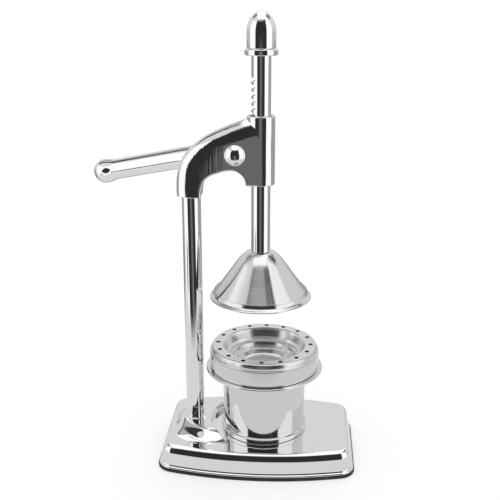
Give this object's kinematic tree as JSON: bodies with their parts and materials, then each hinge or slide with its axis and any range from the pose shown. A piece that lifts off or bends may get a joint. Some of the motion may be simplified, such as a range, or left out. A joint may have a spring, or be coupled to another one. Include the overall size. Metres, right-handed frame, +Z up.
{
  "type": "lever citrus juice press",
  "caption": "Free-standing lever press that drives a steel bell into a perforated strainer on a juice cup through a rack and pinion.",
  "frame": {"origin": "middle of the rubber mat's underside, on the plunger's axis, where the press stands on the table", "axes": "+Z up along the plunger, +X away from the column towards the free end of the base, +Y to the back where the lever swings"},
  "size_m": [0.2722, 0.1589, 0.4296],
  "materials": {
    "chrome_plate": "mirror chrome plate",
    "spun_steel": "satin spun stainless steel",
    "polished_steel": "polished stainless steel",
    "plain_steel": "plain machined steel",
    "bronze": "machined bearing bronze",
    "black_rubber": "matt black rubber"
  },
  "bodies": {
    "frame": {"base_shell": "chrome_plate", "base_mat": "black_rubber", "column_tube": "chrome_plate", "column_plug": "plain_steel", "column_washer": "plain_steel", "column_bolt": "plain_steel", "head_casting": "chrome_plate", "head_set_screw_lower": "plain_steel", "head_set_screw_upper": "plain_steel", "guide_bush_upper": "bronze", "guide_bush_lower": "bronze", "shaft_bush_front": "bronze", "shaft_bush_rear": "bronze", "lever_stop_pin": "plain_steel"},
    "lever": {"lever_shaft": "plain_steel", "pinion_gear": "plain_steel", "pinion_key": "plain_steel", "shaft_cap": "chrome_plate", "shaft_cap_washer": "chrome_plate", "lever_hub": "chrome_plate", "lever_bar": "chrome_plate", "lever_cross_pin": "plain_steel", "lever_key": "plain_steel", "lever_washer": "plain_steel", "lever_nut": "chrome_plate"},
    "plunger": {"rack_rod": "chrome_plate", "stop_collar": "chrome_plate", "knob": "chrome_plate", "bell": "spun_steel", "bell_washer": "plain_steel", "bell_screw": "plain_steel"},
    "cup": {"cup": "polished_steel", "drip_ring": "polished_steel"},
    "strainer": {"strainer": "polished_steel"}
  },
  "joints": [
    {"name": "lever_turn", "type": "hinge", "parent": "frame", "child": "lever", "pos_m": [-0.02315, 0, 0.3033], "axis": [0, 1, 0], "range_deg": [0, 175]},
    {"name": "plunger_slide", "type": "slide", "parent": "frame", "child": "plunger", "axis": [0, 0, -1], "range_m": [0, 0.0489]},
    {"name": "cup_pull", "type": "slide", "parent": "frame", "child": "cup", "axis": [1, 0, 0], "range_m": [0, 0.16]},
    {"name": "strainer_turn", "type": "hinge", "parent": "cup", "child": "strainer", "pos_m": [0.004, 0, 0.1], "axis": [0, 0, 1], "continuous": true}
  ],
  "couplings": [
    {"joint": "plunger_slide", "follows": "lever_turn", "m_per_rad": 0.016}
  ]
}
